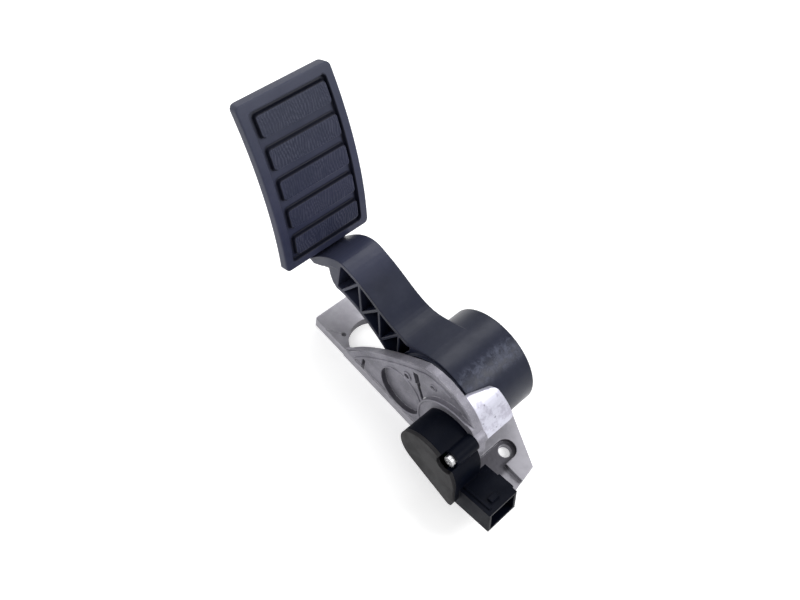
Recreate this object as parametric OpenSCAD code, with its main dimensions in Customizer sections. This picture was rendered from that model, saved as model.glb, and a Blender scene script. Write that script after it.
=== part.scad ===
// Floor-mounted electronic accelerator pedal for a truck.
// Cast base with a cheek and a stop ear, moulded arm with a spring drum,
// bowed pad with five treads, and a side sensor driven by a pin and fork.
// Frame: X runs along the pivot with the far side at +X, +Y points to the toe,
// +Z is up. The origin lies on the underside, straight below the drum's middle.

/* [Base plate] */
// Thickness of the plate
plate_t = 8; // [7:0.5:10]
// From the pivot to the toe end of the plate
plate_toe = 112; // [104:1:124]
// From the drum's middle to the plate's near edge
plate_near = 32.5; // [32.5:0.5:36]
// From the drum's middle to the plate's far edge
plate_far = 27; // [24:0.5:27]
// From the pivot to the point of the heel
heel_tip_y = 69.5; // [64:0.5:76]
// From the pivot to the near corner of the heel
heel_corner_y = 76; // [72:0.5:80]
// Radius of the round window in the plate
window_r = 19.4; // [14:0.2:20]
// Distance of the round window from the pivot
window_y = 70.7; // [66:0.5:76]
// Radius of the two mounting bolt holes
bolt_r = 4.5; // [3.5:0.25:5.5]
// Width of the bolt recess in the heel
recess_w = 14.6; // [13:0.2:18]
// Thickness of the floor below the heel bolt
recess_floor = 4; // [3:0.5:5]

/* [Cheeks and ear] */
// Thickness of the near cheek at its rim
cheek_t = 5.5; // [4.5:0.5:5.5]
// How far the web lies below the rim of the near cheek
web_drop = 1; // [0.5:0.25:2]
// Width of the near cheek's rim
rim_w = 6; // [4:0.5:8]
// Radius of the near cheek's lobe round the drum
lobe_r = 40.7; // [40.2:0.1:42]
// Thickness of the far cheek
far_cheek_t = 6; // [5:0.5:8]
// Radius of the far cheek's round top
far_cheek_r = 17; // [14:0.5:19]
// How far the ear reaches over the drum
ear_reach = 26; // [22:1:30]

/* [Pivot] */
// Clearance between the drum and the base plate
drum_lift = 1.5; // [1:0.25:4]
// Radius of the pivot shaft
shaft_r = 6; // [5:0.25:6.5]
// Wall of the pivot bushes
bush_wall = 1.5; // [1:0.25:2]
// Running clearance between shaft and bushes
run_fit = 0.05; // [0.03:0.01:0.08]
// Travel of the pedal in degrees
travel = 18; // [14:1:20]

/* [Drum] */
// Outer radius of the drum
drum_r = 36.5; // [35.5:0.25:36.5]
// Width of the drum
drum_w = 53; // [50:1:54]
// Wall of the drum
drum_wall = 3.5; // [3:0.25:4]
// Outer radius of the hub
hub_r = 11; // [10:0.25:11.5]
// Gap between the drum and the near cheek
cheek_gap = 1; // [0.6:0.1:1.4]
// Ribs on the drum's far face
drum_ribs = 10; // [6:1:14]

/* [Arm] */
// Width of the arm
arm_w = 29; // [24:1:30]
// Sideways place of the arm's middle
arm_x = -8; // [-11:0.5:-7]
// Width of the head behind the pad
head_w = 31; // [28:1:36]
// Thickness of the arm's skin and flanges
skin_t = 3.2; // [2.6:0.2:3.6]
// Thickness of the lattice ribs
rib_t = 2; // [1.6:0.2:2.6]
// Thickness of the web in the middle of the arm
web_t = 3; // [2:0.5:4]
// Spacing of the lattice along the arm
lattice_pitch = 20.5; // [18:0.5:22]

/* [Pad] */
// Width of the pad
pad_w = 72; // [66:1:76]
// Length of the pad along its chord
pad_l = 121; // [115:1:126]
// Thickness of the pad
pad_t = 8; // [7:0.5:9]
// Bow of the face above its chord
pad_bow = 7.5; // [5:0.5:9]
// Angle of the pad to the base
pad_tilt = 64; // [60:1:68]
// Sideways place of the pad's middle
pad_x = -12; // [-14:0.5:-9]
// Radius of the pad's corners
pad_corner = 3.5; // [3:0.5:8]
// Width of the raised border
border_w = 6; // [5:0.5:7.5]
// Depth of the field inside the border
field_depth = 3.5; // [2:0.25:4]
// Number of treads
treads = 5; // [4:1:6]
// Gap between two treads
tread_gap = 6.3; // [5:0.1:8]
// Plate of the arm's head behind the pad
head_plate_t = 5; // [4:0.5:6]

/* [Sensor] */
// From the pivot back to the sensor's axis
sensor_back = 25.5; // [24.5:0.25:26.5]
// How far the sensor's axis lies below the pivot axis
sensor_drop = 6; // [5:0.5:7]
// Radius of the sensor housing
sensor_r = 25.2; // [24:0.2:26]
// Depth of the sensor with its cover
sensor_d = 25; // [23:0.5:28]
// Wall of the sensor housing
sensor_wall = 2.5; // [2:0.25:3]
// Thickness of the sensor cover
cover_t = 2.5; // [2:0.25:3]
// Thickness of the boss that carries the sensor, from the cheek's inner face
boss_t = 8; // [7.5:0.5:9]
// Radius of the boss that carries the sensor
boss_r = 31.5; // [30.5:0.5:33]
// Distance of the drive pin from the pivot
drive_r = 14; // [13.5:0.25:14.5]
// Radius of the drive pin
pin_r = 2.5; // [2:0.25:2.75]
// Width of the connector
plug_w = 25; // [22:0.5:28]
// Height of the connector
plug_h = 20; // [18:0.5:21]
// Length of the connector
plug_l = 27; // [24:1:30]
// Upward angle of the connector
plug_tilt = 13; // [8:1:16]

/* [Springs] */
// Middle radius of the outer return spring
coil_outer_r = 25.3; // [24.5:0.1:25.5]
// Wire of the outer return spring
wire_outer = 4.5; // [3.5:0.25:4.5]
// Middle radius of the inner return spring
coil_inner_r = 17; // [16.5:0.1:17.5]
// Wire of the inner return spring
wire_inner = 3.6; // [3:0.2:3.8]
// Turns of each return spring
coil_turns = 4.5; // [3.5:0.5:5]

/* [Hidden] */
$fn = 96;

// Clearances: seats that stand still, pieces side by side, and cuts past a face
seat = 0.05;
slack = 0.2;
past = 0.5;

// Heights of the pivot axis and of the sensor's axis above the underside
pivot_h = plate_t + drum_lift + drum_r;
sensor_h = pivot_h - sensor_drop;

// Drum and cheek faces along X
drum_x0 = -drum_w / 2;
drum_x1 = drum_w / 2;
cheek_in = drum_x0 - cheek_gap;
cheek_out = cheek_in - cheek_t;
web_out = cheek_out + web_drop;
boss_out = cheek_in - boss_t;
pocket_floor = 1.1;
washer_t = 1.5;
flange_t = 1.6;
wave_t = 1;
far_in = drum_x1 + 0.7;
far_out = far_in + far_cheek_t;
hub_x0 = cheek_in + slack + washer_t + slack / 2 + flange_t;
hub_x1 = far_in - slack - wave_t - slack / 2 - washer_t - slack / 2 - flange_t;
chamber_r = drum_r - drum_wall;
drum_web_x = 12;
drum_web_t = 3;
bush_r = shaft_r + bush_wall;
flange_r = bush_r + 2.5;
pivot = [0, pivot_h];

// Stops inside the drum, as sectors in degrees round the pivot
stop_r0 = coil_outer_r + wire_outer / 2 + 1.2;
stop_r1 = chamber_r - 0.6;
stop_mid = 90;
stop_half = 5;
bumper_deg = 3.8;
stop_gap = 0.4;
catch_deg = 8;
stop_x1 = cheek_in + 13;

// Sensor drive: the pin crosses the line of centres at half travel
sensor_c = [-sensor_back, sensor_h];
line_deg = atan2(sensor_c[1] - pivot[1], sensor_c[0] - pivot[0]);
pin_idle_deg = line_deg + travel / 2;
pin_at = pivot + drive_r * [cos(pin_idle_deg), sin(pin_idle_deg)];
fork_deg = atan2(pin_at[1] - sensor_c[1], pin_at[0] - sensor_c[0]);
fork_gap = 0.15;
finger_x0 = hub_x0 + 0.6;
finger_t = 4.5;
lever_t = 3.4;
lever_x0 = boss_out + 0.5;
pocket_x = lever_x0 + lever_t + 0.5;
pocket_r = 17.5;
spindle_r = 4;
rear_wall = 2.5;
sensor_front = boss_out - sensor_d;
base_drop = 11.4;
sensor_lean = 13;
notch_at = 24.5;
notch_deg = 121;
notch_r = 6.2;
screw_r = 2;
notch_lug_r = 5.5;
lug_r = 5;

// Bolt holes and recess
heel_bolt = [3, -48.5];
toe_bolt = [17, 98];
heel_far_y = -31;
heel_tip_x = 8;
block_edge = -5;

// Pad frame: bottom edge of the face, then the chord runs up and to the toe
pad_foot = [126, pivot_h + 18];
pad_arc = (pow(pad_l / 2, 2) + pow(pad_bow, 2)) / (2 * pad_bow);
tread_x = 1.2;
head_gap = 0.2;
head_l = 78;
head_tail = 9;
head_x = 4.5;
pad_screw_y = [14, head_l - 16];
pad_screw_x = 11;
lip_w = 2;
lip_depth = 1.9;
pad_screw_r = 2.5;

// Arm side profile, measured from the pivot: the skin above and the belly below
head_end = [131, 6];
skin = lifted(concat(
    bezier([14, 33.7], [24, 30.5], [34, 21.8], [46, 21.8], 12),
    bezier([46, 21.8], [62, 21.8], [78, 33], [98, 33.6], 14),
    bezier([98, 33.6], [109, 34.4], [120, 25], head_end + [-0.5, 3], 14)));
belly = lifted(concat(
    bezier([104, 2.9], [90, 5.5], [75, 1], [60, -6.2], 14),
    bezier([60, -6.2], [50, -11], [36, -22], [22, -29], 10)));
nose = lifted([[113.6, 16], [111.6, 10.5], [108.4, 5.5]]);
tongue = lifted([head_end + [4, 0.5], [128, 5.5], [120, 11.5]]);

// Points moved up to the height of the pivot axis
function lifted(list) = [for (p = list) p + [0, pivot_h]];

// Points of a cubic curve from a to d, drawn towards b and c
function bezier(a, b, c, d, n) = [for (i = [0:n]) let (t = i / n, s = 1 - t)
    s * s * s * a + 3 * s * s * t * b + 3 * s * t * t * c + t * t * t * d];

// Height of a list of points at a given length, read along straight steps
function height_at(list, y) = let (hit = [for (i = [0:len(list) - 2])
    if ((list[i][0] - y) * (list[i + 1][0] - y) <= 0 && list[i][0] != list[i + 1][0])
        list[i][1] + (list[i + 1][1] - list[i][1]) * (y - list[i][0]) / (list[i + 1][0] - list[i][0])])
    hit[0];

// Points along an arc round c
function arc(c, r, from, to, n) = [for (i = [0:n]) let (a = from + (to - from) * i / n)
    c + r * [cos(a), sin(a)]];

// A flat shape drawn in Y and Z, made solid from x0 to x1
module along_x(x0, x1) {
    translate([x0, 0, 0]) rotate([90, 0, 90]) linear_extrude(x1 - x0) children();
}

// A round bar along X at p
module bar_x(p, r, x0, x1) {
    along_x(x0, x1) translate(p) circle(r);
}

// A tube along X at p
module tube_x(p, r_out, r_in, x0, x1) {
    along_x(x0, x1) translate(p) difference() {
        circle(r_out);
        circle(r_in);
    }
}

// A sector of a ring round the pivot, from a0 to a1 degrees
module ring_sector(r0, r1, a0, a1, x0, x1) {
    translate([x0, 0, pivot_h]) rotate([90, 0, 90]) rotate([0, 0, a0])
        rotate_extrude(angle = a1 - a0) translate([r0, 0]) square([r1 - r0, x1 - x0]);
}

// A flat bar of width w from a to b
module strut(a, b, w) {
    translate(a) rotate(atan2(b[1] - a[1], b[0] - a[0])) translate([0, -w / 2]) square([norm(b - a), w]);
}

// A flat rectangle with round corners, centred
module round_rect(w, h, r) {
    for (i = [-1, 1]) {
        for (j = [-1, 1]) translate([i * (w / 2 - r), j * (h / 2 - r)]) circle(r);
    }
    square([w - 2 * r, h], center = true);
    square([w, h - 2 * r], center = true);
}

// The pad's frame: X across, Y up the chord from the bottom edge, Z towards the foot
module in_pad() {
    translate([pad_x, pad_foot[0], pad_foot[1]]) rotate([pad_tilt, 0, 0]) children();
}

// A bowed slab between two depths below the pad's face
module bowed(depth_top, depth_bottom, w) {
    translate([-w / 2, pad_l / 2, pad_bow - pad_arc]) rotate([90, 0, 90]) linear_extrude(w) difference() {
        circle(pad_arc - depth_top, $fn = 200);
        circle(pad_arc - depth_bottom, $fn = 200);
    }
}

// A wire wound round the pivot axis, bent at both ends into a straight leg along X
module coil_spring(r, wire, x0, x1, leg0, leg1, a0) {
    sides = 10;
    bend = wire * 0.75;
    bend_deg = bend / r * 180 / PI;
    turn = 360 * coil_turns - 2 * bend_deg;
    steps = round(20 * coil_turns);
    // Each step holds the place along X, the angle round the axis and the slope of the wire
    start = [for (g = [0:30:90]) [x0 - bend + bend * sin(g), a0 + bend_deg * (1 - cos(g)), g]];
    wound = [for (i = [1:steps - 1]) [x0 + (x1 - x0) * i / steps, a0 + bend_deg + turn * i / steps, 90]];
    finish = [for (g = [90:-30:0]) [x1 + bend - bend * sin(g), a0 + bend_deg + turn + bend_deg * cos(g), g]];
    path = concat([[leg0, a0, 0]], start, wound, finish, [[leg1, a0 + 2 * bend_deg + turn, 0]]);
    points = [for (q = path) for (k = [0:sides - 1])
        let (b = 360 * k / sides, rr = r + wire / 2 * cos(b), side = wire / 2 * sin(b),
            t = -side * cos(q[2]), x = q[0] + side * sin(q[2]))
        [x, rr * cos(q[1]) - t * sin(q[1]), pivot_h + rr * sin(q[1]) + t * cos(q[1])]];
    n = len(path) - 1;
    walls = [for (i = [0:n - 1]) for (k = [0:sides - 1]) let (m = (k + 1) % sides)
        [i * sides + k, (i + 1) * sides + k, (i + 1) * sides + m, i * sides + m]];
    caps = [[for (k = [0:sides - 1]) sides - 1 - k], [for (k = [0:sides - 1]) n * sides + k]];
    polyhedron(points, concat([for (w = walls) [w[3], w[2], w[1], w[0]]], caps), convexity = 10);
}

coil_x0 = finger_x0 + finger_t + 1.5 + wire_outer / 2;
coil_x1 = drum_web_x - 0.8 - wire_outer / 2;
leg_depth = 2;
coil_deg = 60;
coil_end_deg = coil_deg + 360 * coil_turns;

// Outline of the near cheek, seen from the side
cheek_c = [-4.5, pivot_h - 3];
cheek_toe = 79;
cheek_join = 66.8;
cheek_shape = concat([[cheek_toe, 0]],
    bezier([cheek_toe, plate_t - 4], [66, pivot_h - 16], [38, pivot_h + 14], cheek_c + lobe_r * [cos(cheek_join), sin(cheek_join)], 20),
    arc(cheek_c, lobe_r, cheek_join + 2, 180, 36), [cheek_c + [-lobe_r, -cheek_c[1]]]);
web_shape = concat([[cheek_toe - 11, plate_t]],
    bezier([cheek_toe - 11, plate_t + 2], [58, pivot_h - 17], [33, pivot_h + 11],
        cheek_c + (lobe_r - rim_w) * [cos(cheek_join), sin(cheek_join)], 20),
    arc(cheek_c, lobe_r - rim_w, cheek_join + 2, 180, 36), [cheek_c + [rim_w - lobe_r, plate_t - cheek_c[1]]]);

module plate() {
    linear_extrude(plate_t) difference() {
        union() {
            polygon([[-plate_near, -heel_corner_y], [heel_tip_x, -heel_tip_y], [plate_far, heel_far_y],
                [plate_far, plate_toe - 3], [plate_far - 3, plate_toe], [1.2 - plate_near, plate_toe],
                [-plate_near, plate_toe - 1.2]]);
            translate([0, -15]) square([far_out, 45]);
        }
        translate([-10.3, window_y]) circle(window_r);
        translate(heel_bolt) circle(bolt_r);
        translate(toe_bolt) circle(bolt_r);
        translate([-25, 88.7]) circle(1.75);
    }
}

// Recess for the heel bolt, open to the near side, with the low floor beside the end block
module heel_recess() {
    translate([0, 0, recess_floor]) linear_extrude(plate_t) {
        translate(heel_bolt) circle(recess_w / 2);
        translate([-plate_near - past, heel_bolt[1] - recess_w / 2])
            square([plate_near + past + heel_bolt[0], recess_w]);
        translate([-plate_near - past, -heel_corner_y - past])
            square([plate_near + past + block_edge, heel_corner_y + past + heel_bolt[1]]);
    }
}

// Bright ear over the drum's heel side, with a slanted far edge and round corners
ear_mid = 144;
module ear() {
    // Outline in the frame of the ear: across the drum, and up round it from the ear's middle
    outline = concat([[-past, -16.2]], arc([ear_reach - 3, -13.2], 3, -90, 8, 6),
        arc([ear_reach - 9.5, 6.8], 6, 14, 78, 8), [[3.5, 16.7], [-past, 16.9]]);
    intersection() {
        along_x(cheek_in - past, cheek_in + ear_reach + past) difference() {
            polygon(cheek_shape);
            translate(pivot) circle(drum_r + 0.8);
        }
        translate([cheek_in, 0, pivot_h]) rotate([ear_mid - 90, 0, 0]) linear_extrude(lobe_r + 20) polygon(outline);
    }
}

module near_cheek() {
    difference() {
        along_x(cheek_out, cheek_in) polygon(cheek_shape);
        along_x(cheek_out - past, web_out) polygon(web_shape);
        // Round pocket, small cored holes and grooves of the web
        bar_x(pivot + [24.5, -18.5], 19, cheek_out - past, cheek_in - pocket_floor);
        bar_x(pivot + [23, 5.9], 2.2, cheek_out - past, cheek_in - 1);
        bar_x(pivot + [16.2, -5.2], 1.5, cheek_out - past, cheek_in - 1);
        bar_x(pivot + [2, 21], 1.75, cheek_out - past, cheek_in - 1);
        along_x(cheek_out - past, cheek_in - 1) strut(pivot + [17.6, 17.2], pivot + [13, 8], 5);
        along_x(cheek_out - past, cheek_in - 1) strut(pivot + [13.4, 9], pivot + [6, -3], 3);
        along_x(cheek_out - past, cheek_in - 1) strut([60.5, plate_t], [60.5, plate_t + 11], 3);
    }
    along_x(boss_out, cheek_in) intersection() {
        polygon(cheek_shape);
        translate(sensor_c) circle(boss_r);
    }
    bar_x(notch_c, notch_lug_r, boss_out, cheek_in);
    ring_sector(stop_r0, stop_r1, stop_mid - stop_half, stop_mid + stop_half, cheek_in - past, stop_x1);
}

module far_cheek() {
    along_x(far_in, far_out) {
        translate(pivot) circle(far_cheek_r);
        polygon([[-15, plate_t / 2], [30, plate_t / 2], [far_cheek_r * cos(12), pivot_h + far_cheek_r * sin(12)],
            [-far_cheek_r * cos(12), pivot_h + far_cheek_r * sin(12)]]);
    }
}

// Slot in the floor of the sensor pocket, through which the drive pin swings
module pin_slot() {
    r0 = drive_r - pin_r - 0.5;
    r1 = drive_r + pin_r + 0.5;
    a0 = pin_idle_deg - travel;
    ring_sector(r0, r1, a0, pin_idle_deg, boss_out - past, cheek_in + past);
    for (a = [a0, pin_idle_deg])
        bar_x(pivot + drive_r * [cos(a), sin(a)], pin_r + 0.5, boss_out - past, cheek_in + past);
}

module base_casting() {
    color("lightgray") difference() {
        union() {
            plate();
            near_cheek();
            far_cheek();
            ear();
        }
        heel_recess();
        bar_x(pivot, shaft_r + seat, cheek_in - 5, far_out + past);
        bar_x(sensor_c, pocket_r, boss_out - past, pocket_x);
        pin_slot();
        translate([far_in + far_cheek_t / 2, 0, pivot_h]) cylinder(r = 2.5 + seat, h = far_cheek_r + past);
        for (p = sensor_screw_places()) bar_x(p, screw_r + seat, boss_out - past, cheek_in - 1);
        bar_x(pivot + coil_outer_r * [cos(coil_deg), sin(coil_deg)], wire_outer / 2 + seat,
            cheek_in - leg_depth - seat, cheek_in + past);
        bar_x(pivot + coil_inner_r * [cos(coil_deg), sin(coil_deg)], wire_inner / 2 + seat,
            cheek_in - leg_depth - seat, cheek_in + past);
        // Shallow line in the toe end of the plate
        translate([0, 0, plate_t - 0.6]) linear_extrude(2) strut([-33, 100.5], [-25.3, 89.5], 1.4);
    }
}

module pivot_shaft() {
    color("silver") difference() {
        bar_x(pivot, shaft_r, cheek_in - 4.8, far_out + 0.8);
        translate([far_in, -shaft_r, pivot_h + shaft_r - 0.6]) cube([far_cheek_t, 2 * shaft_r, 2]);
    }
}

module shaft_lock_screw() {
    color("dimgray") translate([far_in + far_cheek_t / 2, 0, pivot_h + shaft_r - 0.6]) difference() {
        cylinder(r = 2.5, h = far_cheek_r - shaft_r - 1);
        translate([0, 0, far_cheek_r - shaft_r - 4]) cylinder(r = 1.5, h = 4, $fn = 6);
    }
}

module thrust_washer() {
    color("tan") tube_x(pivot, flange_r, shaft_r + run_fit, cheek_in + slack, cheek_in + slack + washer_t);
}

module friction_disc() {
    x1 = far_in - slack - wave_t - slack / 2;
    color("saddlebrown") tube_x(pivot, flange_r, shaft_r + run_fit, x1 - washer_t, x1);
}

module wave_washer() {
    color("gray") difference() {
        tube_x(pivot, flange_r - 1, shaft_r + run_fit, far_in - slack - wave_t, far_in - slack);
        for (a = [0:60:300]) translate([far_in - slack - (a % 120 == 0 ? wave_t : 0), 0, pivot_h])
            rotate([a, 0, 0]) translate([0, shaft_r + 2, 0]) cylinder(r = 0.5, h = 12, center = true, $fn = 24);
    }
}

module idle_bumper() {
    a1 = stop_mid - stop_half - 0.1;
    color("black") ring_sector(stop_r0, stop_r1, a1 - bumper_deg, a1, cheek_in + slack, stop_x1);
}

module travel_bumper() {
    a0 = stop_mid + stop_half + 0.1;
    color("black") ring_sector(stop_r0, stop_r1, a0, a0 + bumper_deg, cheek_in + slack, stop_x1);
}

module return_spring_outer() {
    color("slategray") coil_spring(coil_outer_r, wire_outer, coil_x0, coil_x1,
        cheek_in - leg_depth, drum_web_x + leg_depth, coil_deg);
}

module return_spring_inner() {
    color("slategray") coil_spring(coil_inner_r, wire_inner, coil_x0, coil_x1,
        cheek_in - leg_depth, drum_web_x + leg_depth, coil_deg);
}

module spring_guide() {
    r1 = coil_inner_r - wire_inner / 2 - 0.4;
    x0 = finger_x0 + finger_t + 0.4;
    color("ivory") {
        tube_x(pivot, r1, hub_r + slack / 2, x0, drum_web_x - slack);
    }
}

// A flanged bush whose flange lies towards side
module bush(x_in, x_face, side) {
    a = min(x_in, x_face);
    tube_x(pivot, bush_r, shaft_r + run_fit, a, max(x_in, x_face));
    tube_x(pivot, flange_r, shaft_r + run_fit, side < 0 ? x_face : x_face - flange_t,
        side < 0 ? x_face + flange_t : x_face);
}

bush_l = 16;
module bush_near() {
    color("peru") bush(hub_x0 + bush_l, hub_x0 - flange_t, -1);
}

module bush_far() {
    color("peru") bush(hub_x1 - bush_l, hub_x1 + flange_t, 1);
}

// Side profile of the arm between the drum and the pad
module arm_profile() {
    polygon(concat([pivot], skin, tongue, nose, belly));
}

// Plan outline: nearly straight on the far side, flared to the drum on the near side
module arm_plan() {
    near = arm_x - arm_w / 2;
    far = arm_x + arm_w / 2;
    head_near = pad_x + head_x - head_w / 2;
    head_far = pad_x + head_x + head_w / 2;
    polygon(concat(
        [[far + 1.5, 0], [far + 1, 60]],
        bezier([far + 1, 90], [far + 1.5, 98], [head_far, 106], [head_far, 118], 10), [[head_far, 140]],
        [[head_near, 140]], bezier([head_near, 120], [head_near, 108], [near, 110], [near, 102], 10),
        bezier([near, 50], [near, 36], [drum_x0, 36], [drum_x0, 14], 8), [[drum_x0, 0]]));
}

// Zigzag ribs between the skin and the belly
module lattice() {
    for (k = [0:3]) {
        low = 99 - k * lattice_pitch;
        top = 85 - k * lattice_pitch;
        a = [low, height_at(belly, low) + skin_t / 2];
        b = [top, height_at(skin, top) - skin_t / 2];
        strut(a, b, rib_t);
        if (k < 3) {
            c = [low - lattice_pitch, height_at(belly, low - lattice_pitch) + skin_t / 2];
            strut(b, c, rib_t);
        }
    }
}

// Hollow between the flanges, from the drum to the head
module arm_hollow() {
    ys = [for (i = [0:24]) 32 + 71 * i / 24];
    difference() {
        polygon(concat([for (y = ys) [y, height_at(skin, y) - skin_t]],
            [for (i = [24:-1:0]) [ys[i], height_at(belly, max(ys[i], 23)) + skin_t]]));
        translate(pivot) circle(drum_r);
        lattice();
    }
}

// Tongue that widens to the head and dips below the pad
module head_tongue() {
    top = [for (p = skin) if (p[0] >= 100) p];
    polygon(concat([[100, height_at(skin, 100) - 6]], top, tongue, [[112, pivot_h + 20]]));
}

// Plate behind the pad
module head_plate() {
    in_pad() intersection() {
        bowed(pad_t + head_gap, pad_t + head_gap + head_plate_t, 80);
        translate([head_x, (head_l - head_tail) / 2, -40]) linear_extrude(60) round_rect(head_w, head_l + head_tail, 6);
    }
}

// Fins on the back of the head plate, drawn in the pad's frame
module head_fins() {
    fin = [[-9, -15.5], [0, -21], [20, -15], [45, -9], [60, -6.5], [60, -4], [30, -4], [0, -10], [-8, -12]];
    for (x = [-4.5, 4.5])
        in_pad() translate([head_x + x - 1.5, 0, 0]) rotate([90, 0, 90]) linear_extrude(3) polygon(fin);
}

module pedal_arm() {
    side = arm_w / 2 - web_t / 2;
    color("#2b2d33") difference() {
        union() {
            intersection() {
                along_x(drum_x0, drum_x1) arm_profile();
                translate([0, 0, -10]) linear_extrude(200) arm_plan();
                translate([drum_x0, 0, 0]) cube([drum_w, 103.5, 200]);
            }
            intersection() {
                along_x(arm_x - arm_w / 2, arm_x + arm_w / 2) arm_profile();
                translate([drum_x0, 100, 0]) cube([drum_w, 60, 200]);
            }
            intersection() {
                along_x(-60, 60) head_tongue();
                translate([0, 0, -10]) linear_extrude(200) arm_plan();
            }
            head_plate();
            head_fins();
            difference() {
                bar_x(pivot, drum_r, drum_x0, drum_x1);
                bar_x(pivot, chamber_r, drum_x0 - past, drum_web_x);
                bar_x(pivot, chamber_r, drum_web_x + drum_web_t, drum_x1 + past);
            }
            bar_x(pivot, hub_r, hub_x0, hub_x1);
            for (k = [0:drum_ribs - 1]) ring_rib(k * 360 / drum_ribs);
            ring_sector(stop_r0, chamber_r + 1, catch_top - catch_deg, catch_top, drum_x0 + 1, stop_x1);
            ring_sector(stop_r0, chamber_r + 1, catch_low, catch_low + catch_deg, drum_x0 + 1, stop_x1);
            drive_finger();
        }
        drum_clearance();
        // Step round the drum's near edge
        tube_x(pivot, drum_r + 40, drum_r - lip_depth, drum_x0 - past, drum_x0 + lip_w);
        along_x(arm_x + web_t / 2, 40) arm_hollow();
        along_x(-40, arm_x - web_t / 2) arm_hollow();
        bar_x(pivot, bush_r + seat, hub_x0 - past, hub_x0 + bush_l + slack);
        bar_x(pivot, bush_r + seat, hub_x1 - bush_l - slack, hub_x1 + past);
        bar_x(pivot, shaft_r + 0.6, hub_x0, hub_x1);
        bar_x(pin_at, pin_r + seat, finger_x0 - past, finger_x0 + finger_t - 0.8);
        for (r = [[coil_outer_r, wire_outer], [coil_inner_r, wire_inner]])
            bar_x(pivot + r[0] * [cos(coil_end_deg), sin(coil_end_deg)], r[1] / 2 + seat,
                drum_web_x - past, drum_web_x + leg_depth + seat);
        at_pad_screws() translate([0, 0, -60]) cylinder(r = pad_screw_r + seat, h = 80);
    }
}

catch_top = stop_mid - stop_half - 0.1 - bumper_deg - stop_gap;
catch_low = stop_mid + stop_half + 0.1 + bumper_deg + travel + stop_gap;

// Space for the hub and springs inside the drum, kept free of the arm's own solid
module drum_clearance() {
    difference() {
        intersection() {
            bar_x(pivot, chamber_r, drum_x0 - past, drum_web_x);
            union() {
                tube_x(pivot, stop_r0, hub_r, drum_x0 - past, drum_web_x);
                difference() {
                    bar_x(pivot, chamber_r, drum_x0 - past, drum_web_x);
                    ring_sector(stop_r0 - 1, chamber_r + 1, catch_top - catch_deg, catch_top, drum_x0 + 1, stop_x1);
                    ring_sector(stop_r0 - 1, chamber_r + 1, catch_low, catch_low + catch_deg, drum_x0 + 1, stop_x1);
                    bar_x(pivot, hub_r, hub_x0, drum_web_x);
                }
            }
        }
        drive_finger();
    }
    difference() {
        tube_x(pivot, chamber_r, hub_r, drum_web_x + drum_web_t, drum_x1 + past);
        for (k = [0:drum_ribs - 1]) ring_rib(k * 360 / drum_ribs);
    }
    bar_x(pivot, hub_r + 0.5, hub_x1, drum_x1 + past);
}

module ring_rib(a) {
    x0 = drum_web_x + drum_web_t - 1;
    translate([x0, 0, pivot_h]) rotate([a, 0, 0]) translate([0, hub_r - 1, -rib_t / 2])
        cube([drum_x1 - 3 - x0, chamber_r - hub_r + 2, rib_t]);
}

// Finger on the hub that holds the drive pin
module drive_finger() {
    along_x(finger_x0, finger_x0 + finger_t) {
        strut(pivot, pin_at, 8);
        translate(pin_at) circle(4.2);
    }
}

module drive_pin() {
    color("silver") bar_x(pin_at, pin_r, lever_x0 + slack, finger_x0 + finger_t - 0.8);
}

function pad_screw_places() = [for (y = pad_screw_y) for (i = [-1, 1]) [head_x + i * pad_screw_x, y]];

// Height of the pad's face above its chord at a length along it
function face_at(y) = pad_bow - pad_arc + sqrt(pad_arc * pad_arc - pow(y - pad_l / 2, 2));

module pedal_pad() {
    field_w = pad_w - 2 * border_w;
    field_l = pad_l - 2 * border_w;
    tread_l = (field_l - tread_gap * treads) / treads;
    tread_w = field_w - 5;
    color("#333b50") difference() {
        pad_moulding(field_w, field_l, tread_w, tread_l);
        at_pad_screws() translate([0, 0, -pad_t - 3]) cylinder(r = pad_screw_r + seat, h = pad_t + 2 - field_depth);
    }
}

module pad_moulding(field_w, field_l, tread_w, tread_l) {
    in_pad() difference() {
        intersection() {
            bowed(0, pad_t, 100);
            translate([0, pad_l / 2, -30]) linear_extrude(60) round_rect(pad_w, pad_l, pad_corner);
        }
        difference() {
            intersection() {
                bowed(-5, field_depth, 100);
                translate([0, pad_l / 2, -30]) linear_extrude(60) round_rect(field_w, field_l, pad_corner / 2);
            }
            intersection() {
                bowed(0.4, pad_t, 100);
                for (k = [0:treads - 1])
                    translate([tread_x, border_w + tread_gap / 2 + tread_l / 2 + k * (tread_l + tread_gap), -30])
                        linear_extrude(60) round_rect(tread_w, tread_l, 2.5);
            }
        }
    }
}

// Places and turns a thing at each pad screw, with Z square to the pad's face there
module at_pad_screws() {
    in_pad() for (p = pad_screw_places())
        translate([p[0], p[1], face_at(p[1])]) rotate([asin((pad_l / 2 - p[1]) / pad_arc), 0, 0]) children();
}

module pad_screws() {
    head_z = -pad_t - head_gap - head_plate_t - 0.1;
    color("silver") at_pad_screws() {
        translate([0, 0, head_z - 0.1]) cylinder(r = pad_screw_r, h = -head_z - field_depth - 1.5);
        translate([0, 0, head_z - 3]) difference() {
            cylinder(r = 4.2, h = 3);
            translate([0, 0, -past]) cylinder(r = 2.3, h = 2, $fn = 6);
        }
    }
}

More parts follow.
